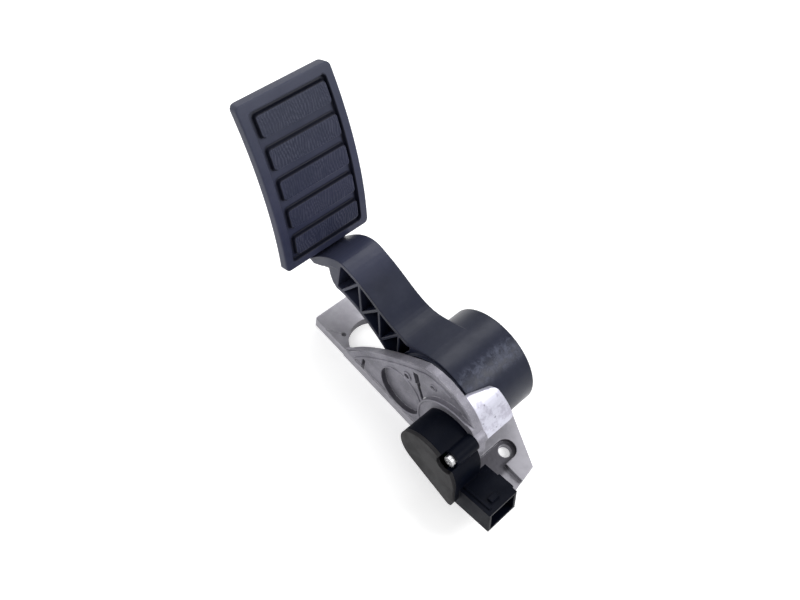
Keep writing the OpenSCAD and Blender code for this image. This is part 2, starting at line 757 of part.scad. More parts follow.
// Outline of the sensor housing, drawn smaller by inset
corner_at = [28, -8.4];
corner_r = 3;
corner_deg = atan2(corner_at[1], corner_at[0]) + acos((sensor_r - corner_r) / norm(corner_at));
toe_corner_r = 16;
toe_corner_z = toe_corner_r - base_drop;
toe_corner_y = -sqrt(pow(sensor_r - toe_corner_r, 2) - pow(toe_corner_z, 2));
toe_deg = atan2(toe_corner_z, toe_corner_y);
module sensor_outline(inset) {
    translate(sensor_c) rotate(sensor_lean) mirror([1, 0]) polygon(concat(
        arc([0, 0], sensor_r - inset, corner_deg, toe_deg, 40),
        arc([toe_corner_y, toe_corner_z], toe_corner_r - inset, toe_deg + 4, 270, 26),
        arc(corner_at, corner_r - inset, -90, corner_deg - 8, 8)));
}

notch_c = sensor_c + notch_at * [cos(notch_deg), sin(notch_deg)];
lug_c = sensor_c + [3, -base_drop - lug_r];
function sensor_screw_places() = [notch_c, lug_c];
shelf_x = boss_out - 18;
plug_near = boss_out - 18;
plug_neck = 8;
socket_wall = 2;
socket_depth = 18;
terminal_short = 6;
terminal_tail = 11.5;
terminal_r = 0.75;
terminal_pitch = 5;
terminal_x = -1.8;

plug_root = [-(sensor_back + 27), sensor_h - 14.4];

// The connector's frame: the tube runs along +Y of it, X across and Z up
module in_plug() {
    translate([plug_near + plug_w / 2, plug_root[0], plug_root[1]]) rotate([-plug_tilt, 0, 0])
        mirror([0, 1, 0]) children();
}

module sensor_housing() {
    color("#16171c") difference() {
        union() {
            along_x(sensor_front + cover_t + seat, boss_out - seat) sensor_outline(0);
            bar_x(lug_c, lug_r, boss_out - 8, boss_out - seat);
            along_x(boss_out - 8, boss_out - seat) strut(lug_c, sensor_c, 2 * lug_r);
            bar_x(notch_c, notch_r - 0.2, shelf_x, boss_out - seat);
            plug_body();
        }
        // Room for the rotor and the board
        along_x(sensor_front - past, boss_out - rear_wall) intersection() {
            sensor_outline(sensor_wall);
            translate(sensor_c + [1, 0]) circle(sensor_r - sensor_wall - 1.5);
        }
        bar_x(sensor_c, spindle_r + run_fit, boss_out - rear_wall - past, boss_out + past);
        // Notch for the screw head, open to the front
        bar_x(notch_c, notch_r, sensor_front - past, shelf_x);
        for (p = sensor_screw_places()) bar_x(p, screw_r + seat, sensor_front - past, boss_out + past);
        // Groove for the seal
        tube_x(sensor_c, pocket_r + 3.2, pocket_r + 1, boss_out - 1.2, boss_out + past);
        in_plug() translate([-plug_w / 2 + socket_wall, plug_l - socket_depth, -plug_h / 2 + socket_wall])
            cube([plug_w - 2 * socket_wall, socket_depth + past, plug_h - 2 * socket_wall]);
        in_plug() for (p = terminal_places()) translate([p[0], -terminal_tail - past, p[1]]) rotate([-90, 0, 0])
            cylinder(r = terminal_r + seat, h = plug_l);
    }
}

// Connector with a latch on top, guide ribs and a ridge on the far side
module plug_body() {
    in_plug() {
        translate([-plug_w / 2, -plug_neck, -plug_h / 2]) cube([boss_out - seat - plug_near, plug_neck + 1, plug_h]);
        translate([-plug_w / 2, 0, -plug_h / 2]) cube([plug_w, plug_l, plug_h]);
        translate([-5, plug_l - 9, plug_h / 2 - 0.1]) cube([7, 4, 1.8]);
        translate([-plug_w / 2 + 3, 1, plug_h / 2 - 0.1]) cube([2, plug_l - 4, 1.2]);
        translate([plug_w / 2 - 0.1, plug_l - 16, -plug_h / 4]) cube([1.3, 12, plug_h / 2 + plug_h / 4]);
    }
}

function terminal_places() = [for (i = [-1:1]) for (j = [-1, 1])
    [i * terminal_pitch + terminal_x, j * 3.2]];

module connector_terminals() {
    color("gold") in_plug() for (p = terminal_places()) translate([p[0], -terminal_tail, p[1]]) rotate([-90, 0, 0])
        cylinder(r = terminal_r, h = plug_l + terminal_tail - terminal_short);
}

module sensor_cover() {
    color("#3a3b40") along_x(sensor_front, sensor_front + cover_t) difference() {
        sensor_outline(0);
        translate(notch_c) circle(notch_r + 0.2);
    }
}

module sensor_seal() {
    color("darkred") tube_x(sensor_c, pocket_r + 3, pocket_r + 1.2, boss_out - 1.1, boss_out - seat);
}

board_x = boss_out - rear_wall - 11.5;
module sensor_board() {
    color("darkgreen") along_x(board_x - 1.6, board_x) intersection() {
        sensor_outline(sensor_wall + 0.3);
        translate(sensor_c + [1, 0]) circle(sensor_r - sensor_wall - 1.8);
    }
    color("black") translate([board_x, sensor_c[0] - 2.5, sensor_c[1] - 2]) cube([1.2, 5, 4]);
}

rotor_disc_r = 8;
module sensor_rotor() {
    x1 = boss_out - rear_wall - slack;
    color("ivory") {
        bar_x(sensor_c, spindle_r, x1 - 1, lever_x0 + lever_t);
        difference() {
            bar_x(sensor_c, rotor_disc_r, x1 - 6, x1);
            bar_x(sensor_c, 6 + seat, x1 - 6 - past, x1 - 3);
        }
    }
}

module sensor_magnet() {
    x1 = boss_out - rear_wall - slack;
    color("dimgray") bar_x(sensor_c, 6, x1 - 6.2, x1 - 3 - seat);
}

// Lever on the spindle, with a fork that holds the drive pin
module rotor_lever() {
    reach = norm(pin_at - sensor_c) + 3.2;
    color("gainsboro") along_x(lever_x0, lever_x0 + lever_t) translate(sensor_c) rotate(fork_deg) difference() {
        union() {
            circle(spindle_r + 2.2);
            translate([0, -5]) square([reach, 10]);
        }
        circle(spindle_r + seat);
        translate([reach - 8, -pin_r - fork_gap]) square([20, 2 * (pin_r + fork_gap)]);
    }
}

module sensor_screws() {
    color("whitesmoke") {
        hex_screw(notch_c, shelf_x, cheek_in - 1.5);
        hex_screw(lug_c, boss_out - 8, cheek_in - 1.5);
    }
}

// A pan screw along X whose head lies on x_seat and whose tip ends at x_tip
module hex_screw(p, x_seat, x_tip) {
    bar_x(p, screw_r, x_seat - 0.5, x_tip);
    difference() {
        bar_x(p, 3.8, x_seat - 3, x_seat - seat);
        along_x(x_seat - 3.5, x_seat - 1.6) translate(p) {
            square([4.6, 1], center = true);
            square([1, 4.6], center = true);
        }
    }
}

base_casting();
pivot_shaft();
shaft_lock_screw();
thrust_washer();
friction_disc();
wave_washer();
idle_bumper();
travel_bumper();
return_spring_outer();
return_spring_inner();
spring_guide();
bush_near();
bush_far();
pedal_arm();
pedal_pad();
pad_screws();
drive_pin();
sensor_housing();
sensor_cover();
sensor_seal();
sensor_board();
sensor_rotor();
rotor_lever();
sensor_magnet();
sensor_screws();
connector_terminals();
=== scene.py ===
import math

import bpy
import numpy as np
from mathutils import Matrix, Vector


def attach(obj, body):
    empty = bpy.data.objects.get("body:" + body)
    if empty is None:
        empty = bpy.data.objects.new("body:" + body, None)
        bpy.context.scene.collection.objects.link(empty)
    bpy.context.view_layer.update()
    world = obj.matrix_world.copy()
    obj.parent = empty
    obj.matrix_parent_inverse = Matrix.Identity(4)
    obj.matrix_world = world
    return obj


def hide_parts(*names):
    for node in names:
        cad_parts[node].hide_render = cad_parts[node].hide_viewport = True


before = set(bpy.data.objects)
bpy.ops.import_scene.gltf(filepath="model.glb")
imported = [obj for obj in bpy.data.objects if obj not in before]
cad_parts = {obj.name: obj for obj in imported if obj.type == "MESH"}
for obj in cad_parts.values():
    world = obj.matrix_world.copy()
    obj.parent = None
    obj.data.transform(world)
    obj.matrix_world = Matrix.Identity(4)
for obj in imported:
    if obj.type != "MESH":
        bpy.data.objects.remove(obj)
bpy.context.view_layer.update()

MM = 0.001

# Sizes repeated from the part's source, in millimetres
PAD_FOOT = np.array([-12.0, 126.0, 64.0])
PAD_TILT = math.radians(64)
PAD_W, PAD_L, PAD_T, PAD_BOW, PAD_CORNER = 72.0, 121.0, 8.0, 7.5, 3.5
PAD_ARC = ((PAD_L / 2) ** 2 + PAD_BOW ** 2) / (2 * PAD_BOW)
BORDER, FIELD_DEPTH, FIELD_CORNER = 6.0, 3.5, 3.0
TREADS, TREAD_GAP, TREAD_X, TREAD_INSET, TREAD_CORNER, TREAD_DROP = 5, 6.3, 1.2, 5.0, 2.5, 0.4
PLUG_ROOT = np.array([-41.0, -52.5, 25.6])
PLUG_TILT = math.radians(13)
PIN_X, PIN_PITCH, PIN_ROW = -1.8, 5.0, 3.2
# The near cheek: faces of its rim, web and sensor seat in X, and its lobe round the drum in Y and Z
RIM_X, WEB_X, SEAT_X = -33.0, -32.0, -35.5
LOBE, LOBE_R, LOBE_JOIN = np.array([-4.5, 43.0]), 40.7, 66.8
# Places that the casting's material looks for, in metres
WINDOW, WINDOW_R = (-0.0103, 0.0707, 0.0), 0.0196
POCKET, POCKET_R = (0.0, 0.0245, 0.0275), 0.019
HEEL_BOLT = (0.003, -0.0485, 0.0)
# Sizes of the visual pieces alone, in millimetres
ROUND_OVER, PAD_END = 1.0, 1.6
STEP_OUT, FIELD_STEP, TREAD_STEP, TOP_STEP = 0.1, 0.9, 0.8, 0.6
HATCH_RISE, HATCH_PITCH, HATCH_LENGTH, RUBBED_MIDDLE, RUBBED_REACH = 0.3, 1.95, 4.9, 48, 50
PIN_R, PIN_START, PIN_SHANK, PIN_TIP = 0.62, 2.0, 17.0, 2.0
SEAT, SEAT_R = (-25.5, 40.0), 30.9


# ---- Materials -----------------------------------------------------------

class Wiring:
    """Adds nodes to a tree and links them, so that a material reads from top to bottom."""

    def __init__(self, tree):
        self.tree = tree

    def add(self, kind, links=None, **values):
        """Makes a node of the given kind; values set its properties, links feed its inputs."""
        n = self.tree.nodes.new(kind)
        for key, value in values.items():
            setattr(n, key, value)
        for key, value in (links or {}).items():
            socket = n.inputs[key]
            if isinstance(value, bpy.types.NodeSocket):
                self.link(value, socket)
            else:
                socket.default_value = value
        return n

    def link(self, source, socket):
        """Joins an output to an input."""
        self.tree.links.new(source, socket)

    def math(self, operation, a, b=0.0, clamp=False):
        """One sum on two numbers or sockets."""
        return self.add("ShaderNodeMath", {0: a, 1: b}, operation=operation, use_clamp=clamp).outputs[0]

    def times(self, *factors):
        """The product of two or more numbers or sockets."""
        product = factors[0]
        for factor in factors[1:]:
            product = self.math("MULTIPLY", product, factor)
        return product

    def spread(self, value, low, high, to_low=0.0, to_high=1.0):
        """Stretches a value from one range to another with a soft start and end."""
        n = self.add("ShaderNodeMapRange", {"Value": value, "From Min": low, "From Max": high,
                                            "To Min": to_low, "To Max": to_high})
        n.interpolation_type = "SMOOTHSTEP"
        return n.outputs["Result"]

    def mix(self, factor, a, b):
        """Blends two colours."""
        n = self.add("ShaderNodeMix", data_type="RGBA")
        for index, value in ((0, factor), (6, a), (7, b)):
            if isinstance(value, bpy.types.NodeSocket):
                self.link(value, n.inputs[index])
            else:
                n.inputs[index].default_value = value
        return n.outputs[2]

    def group(self, tree, **values):
        """Outputs of a shared group whose inputs are set to the given values."""
        n = self.add("ShaderNodeGroup", node_tree=tree)
        for key, value in values.items():
            n.inputs[key].default_value = value
        return n.outputs

    def noise(self, place, scale, detail, rough=0.5, distortion=0.0):
        """A noise's value at a place."""
        return self.add("ShaderNodeTexNoise", {"Vector": place, "Scale": scale, "Detail": detail,
                                               "Roughness": rough, "Distortion": distortion}).outputs["Fac"]

    def parts(self, vector):
        """A vector's X, Y and Z."""
        return self.add("ShaderNodeSeparateXYZ", {0: vector}).outputs

    def object_place(self):
        """The shaded point in its object's own coordinates."""
        return self.add("ShaderNodeTexCoord").outputs["Object"]

    def true_normal(self):
        """The surface's normal, bumps left out."""
        return self.add("ShaderNodeNewGeometry").outputs["Normal"]

    def radius(self, axes, centre):
        """Distance to a centre in the plane of two coordinates, given as input number to value."""
        flat = self.add("ShaderNodeCombineXYZ", axes).outputs[0]
        return self.add("ShaderNodeVectorMath", {0: flat, 1: centre}, operation="DISTANCE").outputs["Value"]

    def between(self, value, low, high, rise, fall):
        """One between low and high, fading to zero over rise below and fall above."""
        return self.times(self.spread(value, low - rise, low), self.spread(value, high + fall, high))


def new_group(name, inputs, outputs):
    """An empty shader group with named inputs and outputs."""
    group = bpy.data.node_groups.new(name, "ShaderNodeTree")
    for label, kind, value in inputs:
        socket = group.interface.new_socket(label, in_out="INPUT", socket_type=kind)
        if value is not None:
            socket.default_value = value
    for label, kind in outputs:
        group.interface.new_socket(label, in_out="OUTPUT", socket_type=kind)
    w = Wiring(group)
    return group, w, w.add("NodeGroupInput").outputs, w.add("NodeGroupOutput").inputs


def make_moulded_grain():
    """Fine pitting of a moulded surface with slow blotches of gloss, from two noises in object space."""
    group, w, given, out = new_group(
        "moulded_grain", [("Scale", "NodeSocketFloat", 1600.0)],
        [("Height", "NodeSocketFloat"), ("Blotch", "NodeSocketFloat")])
    place = w.object_place()
    w.link(w.noise(place, given["Scale"], 3.0, 0.6), out["Height"])
    w.link(w.spread(w.noise(place, 38.0, 4.0, 0.6), 0.36, 0.66), out["Blotch"])
    return group


def make_cast_skin():
    """Sand-blasted casting: coarse and fine pits added together, with darker stains between them."""
    group, w, given, out = new_group(
        "cast_skin", [("Scale", "NodeSocketFloat", 900.0)],
        [("Height", "NodeSocketFloat"), ("Stain", "NodeSocketFloat"), ("Speck", "NodeSocketFloat")])
    place = w.object_place()
    fine = w.noise(place, given["Scale"], 5.0, 0.7)
    coarse = w.add("ShaderNodeTexVoronoi", {"Vector": place, "Scale": 420.0}).outputs["Distance"]
    w.link(w.math("ADD", w.times(fine, 0.7), w.times(coarse, 0.4)), out["Height"])
    w.link(w.spread(w.noise(place, 55.0, 6.0, 0.65), 0.35, 0.68), out["Stain"])
    w.link(w.spread(fine, 0.54, 0.66), out["Speck"])
    return group


def make_worn_edge():
    """Marks outer edges: one less the dot product of the true and the rounded normal, broken by noise."""
    group, w, given, out = new_group(
        "worn_edge", [("Radius", "NodeSocketFloat", 0.0008)],
        [("Edge", "NodeSocketFloat"), ("Normal", "NodeSocketVector")])
    rounded = w.add("ShaderNodeBevel", {"Radius": given["Radius"]}, samples=6).outputs["Normal"]
    dot = w.add("ShaderNodeVectorMath", {0: rounded, 1: w.true_normal()}, operation="DOT_PRODUCT").outputs["Value"]
    broken = w.noise(w.object_place(), 260.0, 4.0)
    turned = w.spread(w.math("SUBTRACT", 1.0, dot), 0.01, 0.16)
    w.link(w.math("MULTIPLY", turned, w.spread(broken, 0.42, 0.62), clamp=True), out["Edge"])
    w.link(rounded, out["Normal"])
    return group


def make_settled_dust():
    """Pale dust on faces that look up: the normal's height times a cloudy noise."""
    group, w, given, out = new_group(
        "settled_dust", [("Amount", "NodeSocketFloat", 0.3)], [("Dust", "NodeSocketFloat")])
    up = w.parts(w.true_normal())["Z"]
    cloud = w.noise(w.object_place(), 70.0, 8.0, 0.7)
    mask = w.times(w.spread(up, 0.1, 0.9), w.spread(cloud, 0.38, 0.72))
    w.link(w.math("MULTIPLY", mask, given["Amount"], clamp=True), out["Dust"])
    return group


GRAIN = make_moulded_grain()
CAST = make_cast_skin()
EDGE = make_worn_edge()
DUST = make_settled_dust()


def rgba(colour):
    """A colour with full cover."""
    return (colour[0], colour[1], colour[2], 1.0)


def start_material(name):
    """A material with an empty tree and its shader joined to the output."""
    material = bpy.data.materials.new(name)
    material.use_nodes = True
    material.node_tree.nodes.clear()
    w = Wiring(material.node_tree)
    shader = w.add("ShaderNodeBsdfPrincipled")
    w.add("ShaderNodeOutputMaterial", {"Surface": shader.outputs["BSDF"]})
    return material, w, shader.inputs


def end_material(w, given, base, rough, height, depth, normal=None, strength=1.0):
    """Joins a colour, a roughness and a bump of the given depth to a shader's inputs."""
    w.link(base, given["Base Color"])
    w.link(rough, given["Roughness"])
    feeds = {"Height": height, "Distance": depth, "Strength": strength}
    if normal:
        feeds["Normal"] = normal
    w.link(w.add("ShaderNodeBump", feeds).outputs["Normal"], given["Normal"])


def moulding(name, colour, rough, dust=0.25, wear=0.35, gloss=0.4):
    """A moulded plastic or rubber: grain, blotches of gloss, paler worn edges and a little dust."""
    pale = [min(1.0, c * 2.2 + 0.02) for c in colour]
    deep = [c * 0.72 for c in colour]
    material, w, given = start_material(name)
    given["Specular IOR Level"].default_value = gloss
    grain = w.group(GRAIN, Scale=1600.0)
    worn = w.group(EDGE, Radius=0.0008)
    base = w.mix(grain["Blotch"], rgba(colour), rgba(deep))
    base = w.mix(w.times(worn["Edge"], wear), base, rgba(pale))
    base = w.mix(w.group(DUST, Amount=dust)["Dust"], base, rgba([0.14, 0.145, 0.18]))
    end_material(w, given, base, w.spread(grain["Blotch"], 0, 1, rough, rough + 0.12), grain["Height"], 0.00004,
                 worn["Normal"])
    return material


def metal(name, colour, rough):
    """A plain metal: pits, stains and brighter edges."""
    deep = [c * 0.75 for c in colour]
    bright = [min(1, c * 1.3) for c in colour]
    material, w, given = start_material(name)
    given["Metallic"].default_value = 1.0
    skin = w.group(CAST, Scale=900.0)
    worn = w.group(EDGE, Radius=0.0004)
    base = w.mix(skin["Stain"], rgba(deep), rgba(colour))
    base = w.mix(w.times(worn["Edge"], 0.5), base, rgba(bright))
    end_material(w, given, base, w.spread(skin["Stain"], 0, 1, rough + 0.1, rough), skin["Height"], 0.00002,
                 worn["Normal"])
    return material


def arm_finish():
    """The arm's satin nylon: soft blotches, painted shade round the drum and painted light paler at the head, and
    scuffs with a painted highlight along the drum's rounded top.
    """
    material, w, given = start_material("arm_finish")
    given["Specular IOR Level"].default_value = 0.19
    grain = w.group(GRAIN, Scale=1400.0)
    worn = w.group(EDGE, Radius=0.0012)
    place = w.object_place()
    at = w.parts(place)
    # The band of scuffs and painted highlight runs along the drum, a little to the heel side of its top
    scuff_and_highlight_band = w.times(w.spread(at["Y"], -0.024, -0.014), w.spread(at["Y"], -0.002, -0.009),
                   w.spread(at["Z"], 0.066, 0.076))
    cloud = w.noise(place, 230.0, 7.0, 0.75, 0.4)
    scuff = w.times(scuff_and_highlight_band, w.spread(cloud, 0.40, 0.70), w.spread(w.noise(place, 70.0, 2.0), 0.36, 0.6))
    base = w.mix(grain["Blotch"], rgba([0.018, 0.021, 0.040]), rgba([0.011, 0.0135, 0.028]))
    # Painted shade darker round the drum, and painted light paler towards the head
    base = w.mix(w.spread(at["Y"], 0.064, 0.080, 0.5, 0.0), base, rgba([0.007, 0.0098, 0.024]))
    base = w.mix(w.spread(at["Y"], 0.074, 0.094, 0.0, 0.75), base, rgba([0.038, 0.042, 0.074]))
    base = w.mix(w.times(worn["Edge"], 0.18), base, rgba([0.07, 0.075, 0.11]))
    base = w.mix(w.group(DUST, Amount=0.05)["Dust"], base, rgba([0.12, 0.13, 0.17]))
    # Scuffs and painted highlight: a paler, broken band along the drum
    base = w.mix(w.times(scuff, 0.5), base, rgba([0.15, 0.165, 0.23]))
    rough = w.math("ADD", w.spread(grain["Blotch"], 0, 1, 0.30, 0.38), w.times(scuff, 0.15))
    end_material(w, given, base, rough, w.math("ADD", grain["Height"], w.times(scuff, 1.5)), 0.00004, worn["Normal"])
    return material


def painted_recess_shade(w, at):
    """Painted shade: one where the casting is painted dark for the shade that falls in its hollows.

    That is on the walls of the plate's window, of the round pocket and of the recess round the heel
    bolt, and on the floor of this recess.
    """
    look = w.parts(w.true_normal())
    upright = w.spread(w.math("ABSOLUTE", look["Z"]), 0.6, 0.3)
    sideways = w.spread(w.math("ABSOLUTE", look["X"]), 0.6, 0.3)
    window = w.radius({0: at["X"], 1: at["Y"]}, WINDOW)
    window_wall = w.times(w.spread(window, WINDOW_R + 0.0004, WINDOW_R), upright)
    pocket = w.radius({1: at["Y"], 2: at["Z"]}, POCKET)
    off_ring = w.math("ABSOLUTE", w.math("SUBTRACT", pocket, POCKET_R))
    pocket_wall = w.times(w.spread(off_ring, 0.0006, 0.0003), sideways, w.spread(at["X"], -0.026, -0.0275))
    bolt = w.radius({0: at["X"], 1: at["Y"]}, HEEL_BOLT)
    heel = w.times(w.between(at["X"], -0.0315, 0.0135, 0.0007, 0.0025),
                   w.between(at["Y"], -0.0575, -0.0365, 0.0035, 0.0025), w.spread(bolt, 0.0047, 0.0051))
    heel_wall = w.times(heel, upright, w.spread(at["Z"], 0.0085, 0.0079))
    heel_floor = w.times(heel, w.spread(at["Z"], 0.0077, 0.0073), w.spread(look["Z"], 0.3, 0.6))
    dark = window_wall
    for other in (pocket_wall, heel_wall, heel_floor):
        dark = w.math("MAXIMUM", dark, other)
    return dark


def casting_finish():
    """Grey cast aluminium, with painted light on the plate and painted shade in its hollows; the stop ear over the
    drum is milled bright, found by its place on the part.
    """
    material, w, given = start_material("cast_alloy_finish")
    skin = w.group(CAST, Scale=1100.0)
    worn = w.group(EDGE, Radius=0.0009)
    place = w.object_place()
    at = w.parts(place)
    on_ear = w.times(w.spread(at["X"], -0.0275, -0.0268), w.spread(at["Y"], -0.012, -0.016),
                     w.spread(at["Z"], 0.045, 0.048))
    on_plate = w.spread(at["Z"], 0.0095, 0.0083)
    grey = w.mix(skin["Stain"], rgba([0.17, 0.166, 0.195]), rgba([0.275, 0.268, 0.31]))
    grey = w.mix(w.times(skin["Speck"], 0.35), grey, rgba([0.44, 0.43, 0.45]))
    # Painted light: the plate, below 9.5 mm, is paler than the cheek
    plate_grey_painted_light = w.mix(skin["Stain"], rgba([0.29, 0.284, 0.315]), rgba([0.39, 0.382, 0.42]))
    grey = w.mix(on_plate, grey, plate_grey_painted_light)
    # Painted shade in the window, the pocket and the heel recess
    grey = w.mix(w.times(painted_recess_shade(w, at), 0.8), grey, rgba([0.055, 0.053, 0.066]))
    # The ear: milling streaks along X, cloudy stains and dark nicks
    along_x = w.add("ShaderNodeMapping", {"Vector": place, "Scale": (60.0, 900.0, 900.0)}).outputs[0]
    streak = w.noise(along_x, 1.0, 3.0)
    scuff = w.noise(place, 150.0, 6.0, 0.66)
    nick = w.add("ShaderNodeTexVoronoi", {"Vector": place, "Scale": 260.0, "Randomness": 1.0}).outputs["Distance"]
    bright = w.mix(streak, rgba([0.52, 0.52, 0.60]), rgba([0.63, 0.63, 0.725]))
    bright = w.mix(w.spread(scuff, 0.46, 0.62), bright, rgba([0.42, 0.41, 0.49]))
    nicked = w.times(w.spread(nick, 0.22, 0.12), w.spread(scuff, 0.5, 0.58))
    bright = w.mix(nicked, bright, rgba([0.20, 0.20, 0.24]))
    base = w.mix(on_ear, grey, bright)
    base = w.mix(w.times(worn["Edge"], 0.55), base, rgba([0.62, 0.62, 0.65]))
    w.link(w.spread(on_ear, 0, 1, 0.55, 0.7), given["Metallic"])
    rise = w.math("ADD", w.times(skin["Height"], w.spread(on_ear, 0, 1, 1.0, 0.25)), w.times(streak, on_ear, 0.3))
    end_material(w, given, base, w.spread(on_ear, 0, 1, 0.52, 0.42), rise, 0.00012, worn["Normal"])
    return material


def pad_finish():
    """Slate pad: satin rim and field, paler strokes on the treads, painted shade on the walls and painted light
    towards the top; the pad's marks say where the treads, strokes and walls are.
    """
    material, w, given = start_material("pad_finish")
    given["Specular IOR Level"].default_value = 0.16
    grain = w.group(GRAIN, Scale=1500.0)
    tread, shade, hatch = (w.add("ShaderNodeAttribute", attribute_name=mark).outputs["Fac"]
                           for mark in ("tread", "shade", "hatch"))
    place = w.object_place()
    stud = w.times(hatch, w.spread(w.noise(place, 55.0, 2.0), 0.36, 0.62, 0.35, 1.0))
    hatched = w.mix(grain["Blotch"], rgba([0.025, 0.028, 0.056]), rgba([0.019, 0.023, 0.048]))
    smooth = w.mix(grain["Blotch"], rgba([0.040, 0.044, 0.080]), rgba([0.032, 0.036, 0.069]))
    slate = w.mix(tread, smooth, hatched)
    slate = w.mix(w.times(stud, 0.9), slate, rgba([0.056, 0.059, 0.095]))
    # Painted light: paler towards the pad's top
    slate = w.mix(w.spread(w.parts(place)["Z"], 0.11, 0.17, 0.0, 0.4), slate, rgba([0.060, 0.066, 0.088]))
    slate = w.mix(w.group(DUST, Amount=0.12)["Dust"], slate, rgba([0.09, 0.093, 0.12]))
    # Painted shade on the walls that face the near side or the pad's top, and at their foot
    slate = w.mix(w.times(shade, 0.85), slate, rgba([0.002, 0.0026, 0.007]))
    rise = w.math("ADD", w.times(grain["Height"], 0.12), w.times(stud, 0.6))
    end_material(w, given, slate, w.spread(tread, 0, 1, 0.42, 0.6), rise, 0.0003, strength=0.9)
    return material


FINISH = {
    "base_casting": casting_finish(),
    "pivot_shaft": metal("shaft_steel", [0.6, 0.6, 0.62], 0.3),
    "shaft_lock_screw": metal("black_screw", [0.1, 0.1, 0.11], 0.45),
    "thrust_washer": moulding("washer_acetal", [0.7, 0.66, 0.55], 0.45),
    "friction_disc": moulding("lining_brown", [0.25, 0.14, 0.08], 0.7),
    "wave_washer": metal("washer_steel", [0.55, 0.55, 0.57], 0.3),
    "idle_bumper": moulding("bumper_black", [0.02, 0.02, 0.02], 0.7),
    "return_spring_outer": metal("spring_wire", [0.26, 0.27, 0.29], 0.35),
    "spring_guide": moulding("guide_acetal", [0.72, 0.69, 0.6], 0.45),
    "bush_near": metal("bush_bronze", [0.55, 0.36, 0.18], 0.45),
    "pedal_arm": arm_finish(),
    "pad_screws": metal("zinc_screw", [0.72, 0.72, 0.73], 0.3),
    "sensor_housing": moulding("sensor_moulding", [0.0013, 0.0025, 0.0075], 0.42, dust=0.004, wear=0.1, gloss=0.06),
    "sensor_cover": moulding("cover_moulding", [0.011, 0.0105, 0.0125], 0.5, dust=0.012, wear=0.2, gloss=0.2),
    "sensor_seal": moulding("seal_black", [0.012, 0.012, 0.013], 0.6),
    "sensor_board": moulding("board_green", [0.006, 0.03, 0.012], 0.35),
    "rotor_lever": metal("lever_alloy", [0.65, 0.65, 0.66], 0.35),
    "sensor_magnet": metal("magnet_grey", [0.2, 0.2, 0.21], 0.5),
    "connector_terminals": metal("terminal_brass", [0.75, 0.58, 0.28], 0.3),
}
SAME = {"travel_bumper": "idle_bumper", "return_spring_inner": "return_spring_outer", "bush_far": "bush_near",
        "pedal_pad": "pedal_arm", "drive_pin": "pivot_shaft", "sensor_rotor": "spring_guide",
        "sensor_screws": "pad_screws"}

for node_name, node_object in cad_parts.items():
    finish = FINISH[SAME.get(node_name, node_name)]
    for material_slot in node_object.material_slots:
        material_slot.material = finish
    if not node_object.material_slots:
        node_object.data.materials.append(finish)


# ---- Pieces worked out as surfaces ---------------------------------------

def surface(name, points, faces, material, marks=None):
    """Puts arrays of points, in millimetres, and faces into a new smooth mesh object at the origin."""
    mesh = bpy.data.meshes.new(name)
    mesh.from_pydata((points * MM).tolist(), [], faces)
    for label, values in (marks or {}).items():
        layer = mesh.attributes.new(label, "FLOAT", "POINT")
        layer.data.foreach_set("value", np.ascontiguousarray(values, dtype=np.float32))
    mesh.polygons.foreach_set("use_smooth", [True] * len(mesh.polygons))
    mesh.materials.append(material)
    piece = bpy.data.objects.new(name, mesh)
    bpy.context.scene.collection.objects.link(piece)
    mesh.update()
    return piece


def ring_faces(rows, columns):
    """Quads between neighbouring rings of points, each ring closed on itself."""
    i = np.arange(rows - 1)[:, None]
    j = np.arange(columns)[None, :]
    k = (j + 1) % columns
    quads = np.stack([i * columns + j, i * columns + k, (i + 1) * columns + k, (i + 1) * columns + j], axis=-1)
    return quads.reshape(-1, 4)


def end_faces(rows, columns):
    """The two flat faces that close a tube of rings."""
    return [list(range(columns))[::-1], list(range((rows - 1) * columns, rows * columns))]


def joined(shapes):
    """Several pairs of points and faces as one pair, with the faces counted on."""
    points, faces, count = [], [], 0
    for some_points, some_faces in shapes:
        points.append(some_points)
        faces += [[k + count for k in face] for face in some_faces]
        count += len(some_points)
    return np.concatenate(points), faces


def rounded_box_distance(u, v, width, length, corner):
    """Distance to the outline of a rectangle with round corners, below zero inside."""
    a = np.abs(u) - (width / 2 - corner)
    b = np.abs(v) - (length / 2 - corner)
    outside = np.hypot(np.maximum(a, 0), np.maximum(b, 0))
    return outside + np.minimum(np.maximum(a, b), 0) - corner


def ease(x):
    """A soft step from 0 to 1."""
    t = np.clip(x, 0, 1)
    return t * t * (3 - 2 * t)


def from_pad(u, v, h):
    """Turns across, along and height on the pad into places on the part."""
    c, s = math.cos(PAD_TILT), math.sin(PAD_TILT)
    return np.stack([PAD_FOOT[0] + u, PAD_FOOT[1] + v * c - h * s, PAD_FOOT[2] + v * s + h * c], axis=-1)


def bow(v):
    """Height of the pad's bowed face above its chord: a circle's arc through both ends."""
    return PAD_BOW - PAD_ARC + np.sqrt(PAD_ARC ** 2 - (v - PAD_L / 2) ** 2)


def treads(u, v):
    """Two masks of the five treads: where they rise from the field, and where they are flat on top."""
    length = (PAD_L - 2 * BORDER - TREAD_GAP * TREADS) / TREADS
    width = PAD_W - 2 * BORDER - TREAD_INSET
    raised, flat_top = np.zeros_like(u), np.zeros_like(u)
    for k in range(TREADS):
        middle = BORDER + TREAD_GAP / 2 + length / 2 + k * (length + TREAD_GAP)
        inside = -rounded_box_distance(u - TREAD_X, v - middle, width, length, TREAD_CORNER)
        raised = np.maximum(raised, ease((inside + STEP_OUT) / TREAD_STEP))
        flat_top = np.maximum(flat_top, ease((inside - TREAD_STEP) / TOP_STEP))
    return raised, flat_top


